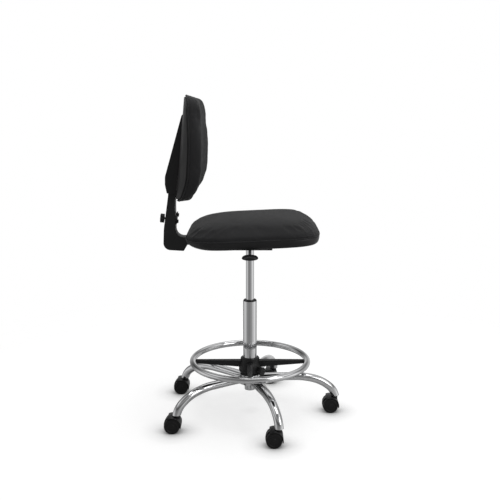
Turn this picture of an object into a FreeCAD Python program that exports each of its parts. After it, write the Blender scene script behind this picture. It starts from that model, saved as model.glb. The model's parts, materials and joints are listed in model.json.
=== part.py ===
import FreeCAD, Part
import math
import os

from FreeCAD import Vector

# Drafting chair: five-star chrome base on twin-wheel casters, gas lift column,
# adjustable foot ring, upholstered seat, and a backrest on an L-shaped bar.
# Millimetres. The column's axis is the Z axis, the floor is z = 0,
# +X is the chair's front and +Y is the sitter's left.

# ---- base and casters ----
LEG_COUNT = 5
LEG_ANGLE = 360.0 / LEG_COUNT
HUB_RADIUS = 37.0
HUB_LOW = 106.0
HUB_HIGH = 141.0
LEG_WALL = 2.0
LEG_END = 59.0
# Leg centreline from the hub to the caster: distance from the column, and height.
LEG_PATH = [(20, 126), (60, 127), (105, 128), (150, 128.5), (188, 127), (222, 121),
            (248, 112), (269, 100), (285, 87), (295.5, 72.5), (301, 58), (303, 46)]
LEG_WIDE = 21.0
LEG_SLIM = 14.5
LEG_TALL = 13.0
TAPER_START = 60.0
TAPER_LENGTH = 190.0
CASTER_CIRCLE = 300.0
CASTER_TRAIL = 16.0
WHEEL_RADIUS = 26.0
WHEEL_INNER = 8.2
WHEEL_OUTER = 27.0
AXLE_RADIUS = 3.0
AXLE_HALF = 21.5
HOOD_INNER = 27.3
HOOD_OUTER = 30.3
HOOD_WEB = 7.5
STEM_RADIUS = 5.5
STEM_LOW = 42.0
STEM_HIGH = 76.0
RUNNING = 0.05
STATIC_GAP = 0.3
ROD_GAP = 0.2

# ---- gas lift ----
COLUMN_RADIUS = 24.0
COLUMN_WALL = 1.6
COLUMN_LOW = 82.0
COLUMN_HIGH = 404.0
NOSE_RADIUS = 19.0
BUSH_LOW = 334.0
BUSH_COLLAR = 22.5
BUSH_TOP = 407.5
PISTON_RADIUS = 14.0
PISTON_WALL = 1.5
PISTON_LOW = 285.0
PISTON_HIGH = 606.0
ROD_RADIUS = 5.0
ROD_LOW = 77.0
ROD_HIGH = 425.0
BUTTON_RADIUS = 3.0
BUTTON_TOP = 610.2
BUTTON_BORE = 11.0

# ---- foot ring ----
RING_RADIUS = 200.0
RING_TUBE = 11.0
RING_WALL = 1.8
RING_HEIGHT = 187.0
SPIDER_LOW = 142.0
SPIDER_HIGH = 200.0
SPIDER_TOP_RADIUS = 33.0
SPIDER_BELLY_RADIUS = 39.0
SPOKE_COUNT = 4
SPOKE_TIP_HALF = 6.0
CLAMP_ANGLE = -40.0
CLAMP_HEIGHT = 158.0
CLAMP_KNOB_RADIUS = 14.0

# ---- seat mechanism and lever ----
SEAT_TILT = 2.5
SEAT_BASE = 622.0
MECH_LOW = 590.0
MECH_X = 75.0
MECH_Y = 50.0
MECH_WALL = 2.5
FLANGE_X = 95.0
FLANGE_Y = 80.0
SOCKET_RADIUS = 19.0
LEVER_HEIGHT = 604.0
LEVER_RADIUS = 3.2
LEVER_PIVOT_Y = -42.0
PIVOT_RADIUS = 2.5
PADDLE_NEAR = -198.0
PADDLE_FAR = -254.0
PADDLE_HEIGHT = 602.0
PADDLE_WIDE = 25.5
PADDLE_THICK = 6.2

# ---- seat ----
SEAT_REAR = -206.0
SEAT_FRONT = 231.0
SEAT_HALF = 226.0
SEAT_SIDE_RISE = 72.0
SEAT_CROWN = 87.0
TRAY_RISE = 25.0
TRAY_FLOOR = 3.0
# The pan's hollow is a copy of the seat at this scale, which leaves a 3 mm wall.
TRAY_HOLLOW = 0.985
BOARD_TOP = 15.0
SEAT_BOLT_X = 78.0
SEAT_BOLT_Y = 65.0

# ---- back bar and backrest, in a frame leaning forward about LEAN_PIVOT ----
LEAN = 5.5
LEAN_PIVOT = Vector(-268, 0, 640)
COVER_HALF = 24.0
COVER_TOP = 835.0
BAR_HALF = 18.0
BAR_LOW = 603.0
BAR_THICK = 6.0
POST_REAR = -274.0
POST_FRONT = -268.0
POST_HALF = 15.0
POST_LOW = 665.0
POST_HIGH = 950.0
KNOB_HEIGHT = 689.0
KNOB_RADIUS = 15.0
KNOB_LOBES = 8
STUD_RADIUS = 4.0
PAD_FRONT = -217.0
PAD_CURVE = 480.0
PAD_DEPTH = 30.0
PAD_BOARD = 9.0
SHELL_WALL = 3.0
SPINE_HALF = 30.0
SPINE_WALL = 2.5
# Half of the backrest's front outline: distance from the middle, height, corner radius.
PAD_OUTLINE = [(0, 1104, 0), (128, 1099, 60), (196, 960, 240), (206, 835, 70),
               (162, 774, 70), (0, 752, 0)]


def cylinder(radius, low, high, x=0.0, y=0.0):
    return Part.makeCylinder(radius, high - low, Vector(x, y, low))


def block(x0, x1, y0, y1, z0, z1):
    return Part.makeBox(x1 - x0, y1 - y0, z1 - z0, Vector(x0, y0, z0))


def crossbar(radius, y0, y1, x, z):
    """A round bar along Y."""
    return Part.makeCylinder(radius, y1 - y0, Vector(x, y0, z), Vector(0, 1, 0))


def lathe(profile):
    """Solid turned about Z from (radius, height) points."""
    points = [Vector(radius, 0, height) for radius, height in profile]
    face = Part.Face(Part.makePolygon(points + points[:1]))
    return face.revolve(Vector(0, 0, 0), Vector(0, 0, 1), 360)


def rounded_face(corners, radii):
    """Flat face on a polygon whose corners are rounded by tangent arcs."""
    count = len(corners)
    rounds = []
    for index, here in enumerate(corners):
        back = (corners[index - 1] - here).normalize()
        ahead = (corners[(index + 1) % count] - here).normalize()
        half = back.getAngle(ahead) / 2
        reach = radii[index] / math.tan(half)
        inward = (back + ahead).normalize()
        middle = here + inward * (radii[index] / math.sin(half) - radii[index])
        rounds.append((here + back * reach, middle, here + ahead * reach))
    edges = []
    for index, (start, middle, end) in enumerate(rounds):
        if radii[index] > 0:
            edges.append(Part.Arc(start, middle, end).toShape())
        edges.append(Part.makeLine(end, rounds[(index + 1) % count][0]))
    return Part.Face(Part.Wire(edges))


def side_prism(profile, half_width):
    """Solid from an XZ outline of (x, z, corner radius), as wide as 2 * half_width."""
    corners = [Vector(x, -half_width, z) for x, z, _ in profile]
    face = rounded_face(corners, [radius for _, _, radius in profile])
    return face.extrude(Vector(0, 2 * half_width, 0))


def turned(shape, degrees):
    copy = shape.copy()
    copy.rotate(Vector(0, 0, 0), Vector(0, 0, 1), degrees)
    return copy


def tilted(shape):
    """From the seat's level frame to its place: front edge up."""
    copy = shape.copy()
    copy.translate(Vector(0, 0, SEAT_BASE))
    copy.rotate(Vector(0, 0, SEAT_BASE), Vector(0, 1, 0), -SEAT_TILT)
    return copy


def leaned(shape):
    """From the backrest's upright frame to its place: top leaning forward."""
    copy = shape.copy()
    copy.rotate(LEAN_PIVOT, Vector(0, 1, 0), LEAN)
    return copy


def leaned_point(x, z):
    angle = math.radians(LEAN)
    dx = x - LEAN_PIVOT.x
    dz = z - LEAN_PIVOT.z
    return (LEAN_PIVOT.x + dx * math.cos(angle) + dz * math.sin(angle),
            LEAN_PIVOT.z - dx * math.sin(angle) + dz * math.cos(angle))


# ---------------------------------------------------------------- base

def base_hub(column):
    return cylinder(HUB_RADIUS, HUB_LOW, HUB_HIGH).cut(column)


def leg_section(index, shrink):
    """Oval across the leg at one point of its path."""
    last = len(LEG_PATH) - 1
    before = LEG_PATH[max(index - 1, 0)]
    after = LEG_PATH[min(index + 1, last)]
    here = LEG_PATH[index]
    length = math.hypot(after[0] - before[0], after[1] - before[1])
    normal = Vector(-(after[1] - before[1]) / length, 0, (after[0] - before[0]) / length)
    share = min(max((here[0] - TAPER_START) / TAPER_LENGTH, 0.0), 1.0)
    wide = LEG_WIDE + (LEG_SLIM - LEG_WIDE) * share - shrink
    tall = LEG_TALL + (LEG_SLIM - 0.4 - LEG_TALL) * share - shrink
    centre = Vector(here[0], 0, here[1])
    oval = Part.Ellipse(centre + Vector(0, wide, 0), centre + normal * tall, centre)
    return Part.Wire(oval.toShape())


def leg_tube():
    last = len(LEG_PATH)
    outside = Part.makeLoft([leg_section(i, 0.0) for i in range(last)], True)
    inside = Part.makeLoft([leg_section(i, LEG_WALL) for i in range(1, last - 3)], True)
    leg = outside.cut(inside)
    leg = leg.cut(cylinder(HUB_RADIUS, 0, COLUMN_HIGH))
    leg = leg.cut(block(200, 400, -50, 50, 0, LEG_END))
    bore = cylinder(STEM_RADIUS + RUNNING, 0, STEM_HIGH + 0.5, CASTER_CIRCLE)
    return leg.cut(bore)


# ---------------------------------------------------------------- casters
# A caster is drawn with its swivel axis on Z and its wheels trailing towards -X.

def caster_stem():
    return cylinder(STEM_RADIUS, STEM_LOW, STEM_HIGH)


def caster_axle():
    return crossbar(AXLE_RADIUS, -AXLE_HALF, AXLE_HALF, -CASTER_TRAIL, WHEEL_RADIUS)


def caster_hood():
    centre = Vector(-CASTER_TRAIL, -WHEEL_OUTER, WHEEL_RADIUS)
    along = Vector(0, 1, 0)
    arc = Part.makeCylinder(HOOD_OUTER, 2 * WHEEL_OUTER, centre, along)
    arc = arc.cut(Part.makeCylinder(HOOD_INNER, 2 * WHEEL_OUTER, centre, along))
    # The shell covers the front and the top of the wheels.
    arc = arc.cut(block(-80, 40, -40, 40, -10, WHEEL_RADIUS - 6))
    arc = arc.cut(block(-80, -CASTER_TRAIL - 14, -40, 40, -10, 80))
    web = crossbar(HOOD_INNER + 0.5, -HOOD_WEB, HOOD_WEB, -CASTER_TRAIL, WHEEL_RADIUS)
    web = web.cut(block(-80, 40, -40, 40, -10, 8))
    boss = cylinder(10.0, 40.0, LEG_END - 0.5)
    wheel_room = crossbar(HOOD_INNER, HOOD_WEB, 60, -CASTER_TRAIL, WHEEL_RADIUS)
    wheel_room = wheel_room.fuse(crossbar(HOOD_INNER, -60, -HOOD_WEB, -CASTER_TRAIL, WHEEL_RADIUS))
    hood = arc.fuse([web, boss]).cut(wheel_room)
    hood = hood.cut(caster_axle())
    return hood.cut(caster_stem()).removeSplitter()


def caster_wheel(side):
    """Wheel with a blind bore; side is +1 for the +Y wheel and -1 for the other."""
    bore = AXLE_RADIUS + RUNNING
    profile = [(bore, WHEEL_INNER), (WHEEL_RADIUS - 1.5, WHEEL_INNER), (WHEEL_RADIUS, WHEEL_INNER + 1.5),
               (WHEEL_RADIUS, 24), (WHEEL_RADIUS - 1, 26), (WHEEL_RADIUS - 3, WHEEL_OUTER),
               (18.5, WHEEL_OUTER), (17, 25), (7.5, 25), (6.5, 26), (0, 26), (0, 22), (bore, 22)]
    wheel = lathe(profile)
    wheel.rotate(Vector(0, 0, 0), Vector(1, 0, 0), -90 * side)
    wheel.translate(Vector(-CASTER_TRAIL, 0, WHEEL_RADIUS))
    return wheel


# ---------------------------------------------------------------- gas lift

def column_tube():
    inside = COLUMN_RADIUS - COLUMN_WALL
    return lathe([(ROD_RADIUS + ROD_GAP, COLUMN_LOW), (NOSE_RADIUS, COLUMN_LOW), (NOSE_RADIUS, 98),
                  (COLUMN_RADIUS, 106), (COLUMN_RADIUS, COLUMN_HIGH), (inside, COLUMN_HIGH),
                  (inside, 107), (NOSE_RADIUS - COLUMN_WALL, 99), (NOSE_RADIUS - COLUMN_WALL, COLUMN_LOW + 4),
                  (ROD_RADIUS + ROD_GAP, COLUMN_LOW + 4)])


def column_bushing():
    inside = PISTON_RADIUS + RUNNING
    sleeve = COLUMN_RADIUS - COLUMN_WALL
    return lathe([(inside, BUSH_LOW), (sleeve, BUSH_LOW), (sleeve, COLUMN_HIGH), (BUSH_COLLAR, COLUMN_HIGH),
                  (BUSH_COLLAR, BUSH_TOP - 1), (BUSH_COLLAR - 1, BUSH_TOP), (inside, BUSH_TOP)])


def thrust_bearing():
    floor = COLUMN_LOW + 4
    inside = ROD_RADIUS + ROD_GAP
    return lathe([(inside, floor), (15, floor), (15, floor + 7), (inside, floor + 7)])


def piston_rod():
    """Steel rod with the shoulder that stands on the thrust bearing and the piston head."""
    shoulder = COLUMN_LOW + 11.1
    head = PISTON_RADIUS - PISTON_WALL - 0.08
    return lathe([(0, ROD_LOW), (ROD_RADIUS, ROD_LOW), (ROD_RADIUS, shoulder), (9, shoulder),
                  (9, shoulder + 4), (ROD_RADIUS, shoulder + 4), (ROD_RADIUS, ROD_HIGH - 12),
                  (head, ROD_HIGH - 12), (head, ROD_HIGH), (0, ROD_HIGH)])


def retaining_clip():
    return lathe([(ROD_RADIUS, COLUMN_LOW - 2.7), (10, COLUMN_LOW - 2.7),
                  (10, COLUMN_LOW - 0.2), (ROD_RADIUS, COLUMN_LOW - 0.2)])


def piston_outline():
    """Outside of the gas cylinder, with the taper that sits in the mechanism's socket."""
    return lathe([(0, PISTON_LOW), (PISTON_RADIUS, PISTON_LOW), (PISTON_RADIUS, MECH_LOW),
                  (PISTON_RADIUS - 0.6, PISTON_HIGH), (0, PISTON_HIGH)])


def piston_tube():
    inside = PISTON_RADIUS - PISTON_WALL
    tube = piston_outline()
    tube = tube.cut(cylinder(inside, PISTON_LOW + 12, PISTON_HIGH - 10))
    tube = tube.cut(cylinder(ROD_RADIUS + RUNNING, PISTON_LOW - 1, PISTON_LOW + 13))
    return tube.cut(cylinder(BUTTON_RADIUS + RUNNING, PISTON_HIGH - BUTTON_BORE, PISTON_HIGH + 1))


def release_button():
    return cylinder(BUTTON_RADIUS, PISTON_HIGH - BUTTON_BORE + 1, BUTTON_TOP)


# ---------------------------------------------------------------- foot ring

def ring_solid(tube_radius):
    return Part.makeTorus(RING_RADIUS, tube_radius, Vector(0, 0, RING_HEIGHT))


def foot_ring():
    return ring_solid(RING_TUBE).cut(ring_solid(RING_TUBE - RING_WALL))


def spoke():
    """One tapering arm along +X, tall at the hub and slim at the ring."""
    root = SPIDER_TOP_RADIUS - 6
    tip = RING_RADIUS
    corners = [Vector(root, -10, 166), Vector(tip, -10, 178.5), Vector(tip, -10, 189.5),
               Vector(root, -10, 189)]
    tall = Part.Face(Part.makePolygon(corners + corners[:1])).extrude(Vector(0, 20, 0))
    plan = [Vector(root, -10, 150), Vector(tip, -SPOKE_TIP_HALF, 150),
            Vector(tip, SPOKE_TIP_HALF, 150), Vector(root, 10, 150)]
    flat = Part.Face(Part.makePolygon(plan + plan[:1])).extrude(Vector(0, 0, 60))
    return tall.common(flat)


def clamp_axis():
    angle = math.radians(CLAMP_ANGLE)
    return Vector(math.cos(angle), math.sin(angle), 0)


def clamp_stud(radius, start, end):
    out = clamp_axis()
    return Part.makeCylinder(radius, end - start, out * start + Vector(0, 0, CLAMP_HEIGHT), out)


def foot_ring_spider():
    hub = lathe([(COLUMN_RADIUS + STATIC_GAP, SPIDER_LOW), (SPIDER_TOP_RADIUS, SPIDER_LOW),
                 (SPIDER_BELLY_RADIUS, SPIDER_LOW + 12), (SPIDER_BELLY_RADIUS, SPIDER_LOW + 32),
                 (SPIDER_TOP_RADIUS, SPIDER_HIGH - 14), (SPIDER_TOP_RADIUS, SPIDER_HIGH - 3),
                 (SPIDER_TOP_RADIUS - 3, SPIDER_HIGH), (COLUMN_RADIUS + STATIC_GAP, SPIDER_HIGH)])
    arms = [turned(spoke(), 90 * i) for i in range(SPOKE_COUNT)]
    spider = hub.fuse(arms).fuse(clamp_stud(11, 30, 44))
    spider = spider.cut(cylinder(COLUMN_RADIUS + STATIC_GAP, SPIDER_LOW - 1, SPIDER_HIGH + 1))
    spider = spider.cut(ring_solid(RING_TUBE))
    return spider.cut(clamp_stud(4.05, 20, 50)).removeSplitter()


def foot_ring_knob():
    """Clamp knob with its moulded-in stud, whose tip stops just short of the column."""
    head = clamp_stud(CLAMP_KNOB_RADIUS, 44.5, 58)
    collar = clamp_stud(9, 44.3, 46)
    stud = clamp_stud(4.0, COLUMN_RADIUS + 0.6, 50)
    return head.fuse([collar, stud]).removeSplitter()


# ---------------------------------------------------------------- seat

def seat_volume():
    """Outer shape of the whole seat in its level frame, from three crossing outlines."""
    top = SEAT_CROWN
    side = side_prism([(SEAT_REAR + 56, 0, 60), (SEAT_FRONT, 0, 22), (SEAT_FRONT - 8, top, 58),
                       (SEAT_REAR + 56, top - 3, 90), (SEAT_REAR + 11, 63, 36), (SEAT_REAR, 32, 18)],
                      SEAT_HALF + 10)
    plan = [(SEAT_REAR - 2, 0, 900), (SEAT_REAR + 12, 196, 105), (0, SEAT_HALF + 2, 900),
            (SEAT_FRONT - 12, 214, 82), (SEAT_FRONT + 3, 0, 1400), (SEAT_FRONT - 12, -214, 82),
            (0, -SEAT_HALF - 2, 900), (SEAT_REAR + 12, -196, 105)]
    flat = rounded_face([Vector(x, y, -10) for x, y, _ in plan], [r for _, _, r in plan])
    flat = flat.extrude(Vector(0, 0, top + 20))
    end = [(-SEAT_HALF, 0, 20), (SEAT_HALF, 0, 20), (SEAT_HALF, SEAT_SIDE_RISE, 42),
           (0, top, 900), (-SEAT_HALF, SEAT_SIDE_RISE, 42)]
    crown = rounded_face([Vector(SEAT_REAR - 10, y, z) for y, z, _ in end], [r for _, _, r in end])
    crown = crown.extrude(Vector(SEAT_FRONT - SEAT_REAR + 20, 0, 0))
    return side.common(flat).common(crown)


def seat_pocket(low, high, inset):
    """Block that fits inside the tray, a little clear of its wall."""
    rear = SEAT_REAR + 74 + inset
    front = SEAT_FRONT - 34 - inset
    side = SEAT_HALF - 36 - inset
    outline = [(rear, -side, 80), (front, -side, 80), (front, side, 80), (rear, side, 80)]
    face = rounded_face([Vector(x, y, low) for x, y, _ in outline], [r for _, _, r in outline])
    return face.extrude(Vector(0, 0, high - low))


def seat_bolt_set():
    """Four bolts from the mechanism's flange into the seat board, in the seat's frame."""
    bolts = []
    for x in (-SEAT_BOLT_X, SEAT_BOLT_X):
        for y in (-SEAT_BOLT_Y, SEAT_BOLT_Y):
            shank = cylinder(3.0, -3, BOARD_TOP - 1, x, y)
            head = cylinder(6.0, -7.5, -3, x, y)
            bolts.append(shank.fuse(head).removeSplitter())
    return Part.makeCompound(bolts)


def seat_tray(volume, bolts):
    """Moulded pan: the lower slice of the seat, hollowed by a slightly smaller copy of it."""
    lower = volume.common(block(-300, 300, -300, 300, -1, TRAY_RISE))
    height = TRAY_FLOOR / (1 - TRAY_HOLLOW)
    hollow = volume.copy()
    hollow.scale(TRAY_HOLLOW, Vector((SEAT_REAR + SEAT_FRONT) / 2, 0, height))
    return tilted(lower.cut(hollow).cut(bolts))


def seat_board(bolts):
    return tilted(seat_pocket(TRAY_FLOOR, BOARD_TOP, 1).cut(bolts))


def seat_cushion(volume):
    upper = volume.common(block(-300, 300, -300, 300, TRAY_RISE, 200))
    plug = seat_pocket(BOARD_TOP, TRAY_RISE, 1)
    return tilted(upper.fuse(plug).removeSplitter())


# ---------------------------------------------------------------- mechanism

def mechanism_housing(bolts, bar_bolts):
    """Pressed steel box with a flange on top, a taper socket and lugs for the lever."""
    above = tilted(block(-200, 200, -200, 200, 0, 100))
    outside = block(-MECH_X, MECH_X, -MECH_Y, MECH_Y, MECH_LOW, SEAT_BASE + 20).cut(above)
    inner_x = MECH_X - MECH_WALL
    inner_y = MECH_Y - MECH_WALL
    box = outside.cut(block(-inner_x, inner_x, -inner_y, inner_y, MECH_LOW + MECH_WALL, SEAT_BASE + 30))
    flange = tilted(block(-FLANGE_X, FLANGE_X, -FLANGE_Y, FLANGE_Y, -3, 0))
    flange = flange.cut(block(-inner_x, inner_x, -inner_y, inner_y, MECH_LOW, SEAT_BASE + 30))
    socket = cylinder(SOCKET_RADIUS, MECH_LOW, PISTON_HIGH - 2)
    tongue_low = BAR_LOW + BAR_THICK
    tongue = block(-130, -MECH_X + 1, -22, 22, tongue_low, tongue_low + 3)
    lugs = [block(x, x + 3, LEVER_PIVOT_Y - 5, LEVER_PIVOT_Y + 5, MECH_LOW, LEVER_HEIGHT + 6)
            for x in (-13, 10)]
    housing = box.fuse([flange, socket, tongue] + lugs)
    housing = housing.cut(piston_outline())
    housing = housing.cut(lever_pivot_pin())
    window = block(-9, 9, -MECH_Y - 1, -inner_y + 0.5, LEVER_HEIGHT - 7, LEVER_HEIGHT + 9)
    housing = housing.cut(window)
    return housing.cut(tilted(bolts)).cut(bar_bolts).removeSplitter()


def lever_pivot_pin():
    return Part.makeCylinder(PIVOT_RADIUS, 30, Vector(-15, LEVER_PIVOT_Y, LEVER_HEIGHT), Vector(1, 0, 0))


def lever_rod():
    """Round rod with a pivot boss and the finger that reaches over the release button."""
    rod = crossbar(LEVER_RADIUS, PADDLE_FAR + 14, LEVER_PIVOT_Y, 0, LEVER_HEIGHT)
    boss = Part.makeCylinder(6, 16, Vector(-8, LEVER_PIVOT_Y, LEVER_HEIGHT), Vector(1, 0, 0))
    riser = block(-4, 4, LEVER_PIVOT_Y - 1, LEVER_PIVOT_Y + 6, LEVER_HEIGHT, 616)
    finger = block(-4, 4, LEVER_PIVOT_Y - 1, 5, BUTTON_TOP + 0.3, 616)
    bore_start = Vector(-15, LEVER_PIVOT_Y, LEVER_HEIGHT)
    bore = Part.makeCylinder(PIVOT_RADIUS + RUNNING, 30, bore_start, Vector(1, 0, 0))
    return rod.fuse([boss, riser, finger]).cut(bore).removeSplitter()


def lever_paddle():
    """Flat grip, broad and lens-shaped in section, pushed over the rod's end."""
    section = []
    for y, scale in ((PADDLE_NEAR, 0.55), (PADDLE_NEAR - 14, 0.9), (PADDLE_NEAR - 34, 1.0),
                     (PADDLE_FAR + 6, 0.94), (PADDLE_FAR, 0.7)):
        centre = Vector(0, y, PADDLE_HEIGHT)
        wide = Vector(PADDLE_WIDE * scale, 0, 0)
        thick = Vector(0, 0, PADDLE_THICK * scale)
        oval = Part.Ellipse(centre + wide, centre + thick, centre)
        section.append(Part.Wire(oval.toShape()))
    grip = Part.makeLoft(section, True)
    return grip.cut(crossbar(LEVER_RADIUS, PADDLE_FAR + 14, 0, 0, LEVER_HEIGHT))


# ---------------------------------------------------------------- back bar

def bar_bolt_set():
    bolts = []
    for x in (-118, -94):
        shank = cylinder(4, BAR_LOW, BAR_LOW + BAR_THICK + 4, x)
        head = cylinder(7, BAR_LOW - 5, BAR_LOW, x)
        bolts.append(shank.fuse(head).removeSplitter())
    return Part.makeCompound(bolts)


def knob_bore():
    """Clearance hole for the back knob's stud, through the cover and the bar."""
    axis = Vector(1, 0, 0)
    return leaned(Part.makeCylinder(STUD_RADIUS + STATIC_GAP, 40, Vector(-300, 0, KNOB_HEIGHT), axis))


def back_bar(bolts, bore):
    """Flat steel bent to an L: one arm under the seat, one inside the upright cover."""
    high = BAR_LOW + BAR_THICK
    rear_low = leaned_point(-284, 640)
    rear_top = leaned_point(-284, COVER_TOP - 15)
    front_top = leaned_point(-279, COVER_TOP - 15)
    front_low = leaned_point(-279, 640)
    corner_out = (rear_low[0] - 3.4, BAR_LOW)
    corner_in = (front_low[0] - 2.8, high)
    outline = [(-MECH_X - 4, BAR_LOW, 0), corner_out + (16,), rear_top + (0,), front_top + (0,),
               corner_in + (10,), (-MECH_X - 4, high, 0)]
    bar = side_prism(outline, BAR_HALF)
    return bar.cut(bolts).cut(bore)


def back_bar_cover(bar, bore):
    """Moulded cover over the bar's bend and upright, with the channel that the post slides in."""
    outline = [(-224, 583, 4), (-293.5, 587, 24), leaned_point(-292, 655) + (120,),
               leaned_point(-286.5, 765) + (200,), leaned_point(-286.5, COVER_TOP) + (3,),
               leaned_point(-261.5, COVER_TOP) + (3,), leaned_point(-261.5, 745) + (200,),
               leaned_point(-253, 660) + (60,), (-252, 630, 27), (-206, 630, 3), (-207, 612, 6)]
    cover = side_prism(outline, COVER_HALF)
    half = POST_HALF + STATIC_GAP
    channel = block(POST_REAR - STATIC_GAP, POST_FRONT + STATIC_GAP, -half, half,
                    POST_LOW - 10, COVER_TOP + 5)
    return cover.cut(leaned(channel)).cut(bar).cut(bore)


def back_knob():
    """Lobed hand knob behind the upright, with its stud towards the post."""
    axis = Vector(1, 0, 0)
    head = Part.makeCylinder(KNOB_RADIUS - 1.2, 13, Vector(-308, 0, KNOB_HEIGHT), axis)
    lobes = []
    for index in range(KNOB_LOBES):
        angle = 2 * math.pi * index / KNOB_LOBES
        reach = KNOB_RADIUS - 3.2
        place = Vector(-308, reach * math.sin(angle), KNOB_HEIGHT + reach * math.cos(angle))
        lobes.append(Part.makeCylinder(3.6, 13, place, axis))
    stud = Part.makeCylinder(STUD_RADIUS, POST_REAR - 0.2 + 300, Vector(-300, 0, KNOB_HEIGHT), axis)
    return leaned(head.fuse(lobes + [stud]).removeSplitter())


def clamp_plate():
    """Nut plate on the upright's front, with two domed rivets."""
    plate = block(-254.5, -251.0, -16, 16, 674, 714)
    rivets = []
    for z in (683, 705):
        rivets.append(Part.makeCylinder(6, 5.5, Vector(-252, 0, z), Vector(1, 0, 0)))
    return plate.fuse(rivets).removeSplitter()


def back_post(bolts):
    """Sliding steel strip that carries the backrest, with the pad that meets its board."""
    strip = block(POST_REAR, POST_FRONT, -POST_HALF, POST_HALF, POST_LOW, POST_HIGH)
    spacer = block(POST_FRONT, PAD_FRONT - PAD_DEPTH - PAD_BOARD, -POST_HALF, POST_HALF, 860, 940)
    return leaned(strip.fuse(spacer).removeSplitter().cut(bolts))


# ---------------------------------------------------------------- backrest

def pad_prism(inset):
    """Front outline of the backrest, run through from front to rear."""
    right = [(y - inset if y > 0 else 0, z, r) for y, z, r in PAD_OUTLINE]
    right = [(y, z - inset if z > 900 else z + inset, r) for y, z, r in right]
    left = [(-y, z, r) for y, z, r in right[1:-1]]
    outline = right + left[::-1]
    face = rounded_face([Vector(-340, y, z) for y, z, _ in outline],
                        [max(r - inset, 0) for _, _, r in outline])
    return face.extrude(Vector(240, 0, 0))


def pad_layer(front, depth, inset):
    """Curved sheet of the backrest: front is its distance behind the pad's face."""
    centre_x = PAD_FRONT + PAD_CURVE
    inner = PAD_CURVE + front
    sheet = cylinder(inner + depth, 700, 1150, centre_x).cut(cylinder(inner, 690, 1160, centre_x))
    return sheet.common(pad_prism(inset))


def back_bolt_set():
    """Two bolts through the post into the board, in the backrest's frame."""
    bolts = []
    for z in (880, 920):
        shank = Part.makeCylinder(3, 22, Vector(POST_REAR, 0, z), Vector(1, 0, 0))
        head = Part.makeCylinder(6, 4.5, Vector(POST_REAR - 4.5, 0, z), Vector(1, 0, 0))
        bolts.append(shank.fuse(head).removeSplitter())
    return Part.makeCompound(bolts)


def back_board(bolts):
    return leaned(pad_layer(PAD_DEPTH, PAD_BOARD, 14).cut(bolts))


def back_cushion():
    """Upholstered pad: foam in front of the board and wrapped round its edge."""
    whole = pad_layer(0.0, PAD_DEPTH + PAD_BOARD, 0)
    return leaned(whole.cut(pad_layer(PAD_DEPTH, PAD_BOARD + 1, 13.7)))


def back_shell():
    """Rear cover with the hollow spine that hides the post."""
    skin = pad_layer(PAD_DEPTH + PAD_BOARD, SHELL_WALL, 6)
    face = PAD_FRONT - PAD_DEPTH - PAD_BOARD
    outer = side_prism([(face - 2, 1042, 0), (face - 6, 1038, 8), (-301, 832, 20), (-299, 806, 30),
                        (-290.5, 778, 0), (face - 4, 778, 0)], SPINE_HALF)
    inner = side_prism([(face - 2, 1020, 0), (-264, 1016, 0), (-298, 832, 18), (-296, 808, 28),
                        (-288, 770, 0), (face - 3.5, 770, 0), (face - 3.5, 850, 0), (face + 5, 850, 0),
                        (face + 5, 950, 0), (face - 2, 950, 0)],
                       SPINE_HALF - SPINE_WALL)
    shell = skin.fuse(outer.cut(pad_layer(-60, 60 + PAD_DEPTH + PAD_BOARD, -60)))
    return leaned(shell.cut(inner).removeSplitter())


# ---------------------------------------------------------------- assembly

def place_casters(parts):
    for index in range(LEG_COUNT):
        angle = math.radians(index * LEG_ANGLE)
        foot = Vector(CASTER_CIRCLE * math.cos(angle), CASTER_CIRCLE * math.sin(angle), 0)
        number = index + 1
        pieces = {"caster_stem_%d" % number: caster_stem(),
                  "caster_hood_%d" % number: caster_hood(),
                  "caster_axle_%d" % number: caster_axle(),
                  "caster_wheel_%d_left" % number: caster_wheel(1),
                  "caster_wheel_%d_right" % number: caster_wheel(-1)}
        for name, shape in pieces.items():
            shape.translate(foot)
            parts[name] = shape
        parts["base_leg_%d" % number] = turned(leg_tube(), index * LEG_ANGLE)


def build():
    parts = {}
    place_casters(parts)
    parts["column_tube"] = column_tube()
    parts["base_hub"] = base_hub(cylinder(COLUMN_RADIUS, 0, COLUMN_HIGH))
    parts["column_bushing"] = column_bushing()
    parts["thrust_bearing"] = thrust_bearing()
    parts["piston_rod"] = piston_rod()
    parts["retaining_clip"] = retaining_clip()
    parts["piston_tube"] = piston_tube()
    parts["release_button"] = release_button()
    parts["foot_ring"] = foot_ring()
    parts["foot_ring_spider"] = foot_ring_spider()
    parts["foot_ring_knob"] = foot_ring_knob()
    volume = seat_volume()
    seat_bolts = seat_bolt_set()
    bar_bolts = bar_bolt_set()
    parts["seat_bolts"] = tilted(seat_bolts)
    parts["seat_tray"] = seat_tray(volume, seat_bolts)
    parts["seat_board"] = seat_board(seat_bolts)
    parts["seat_cushion"] = seat_cushion(volume)
    parts["mechanism_housing"] = mechanism_housing(seat_bolts, bar_bolts)
    parts["lever_pivot_pin"] = lever_pivot_pin()
    parts["lever_rod"] = lever_rod()
    parts["lever_paddle"] = lever_paddle()
    bore = knob_bore()
    bar = back_bar(bar_bolts, bore)
    parts["back_knob"] = back_knob()
    parts["back_bar_bolts"] = bar_bolts
    parts["back_bar"] = bar
    plate = leaned(clamp_plate())
    parts["back_bar_cover"] = back_bar_cover(bar, bore).cut(plate)
    parts["back_clamp_plate"] = plate
    back_bolts = back_bolt_set()
    parts["back_bolts"] = leaned(back_bolts)
    parts["back_post"] = back_post(back_bolts)
    parts["back_board"] = back_board(back_bolts)
    parts["back_cushion"] = back_cushion()
    parts["back_shell"] = back_shell()
    return parts


os.makedirs("parts", exist_ok=True)
for node, shape in build().items():
    shape.exportStep("parts/%s.step" % node)
    print(node, "solids", len(shape.Solids), "valid", shape.isValid(), "cm3", round(shape.Volume / 1000, 2))
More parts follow.
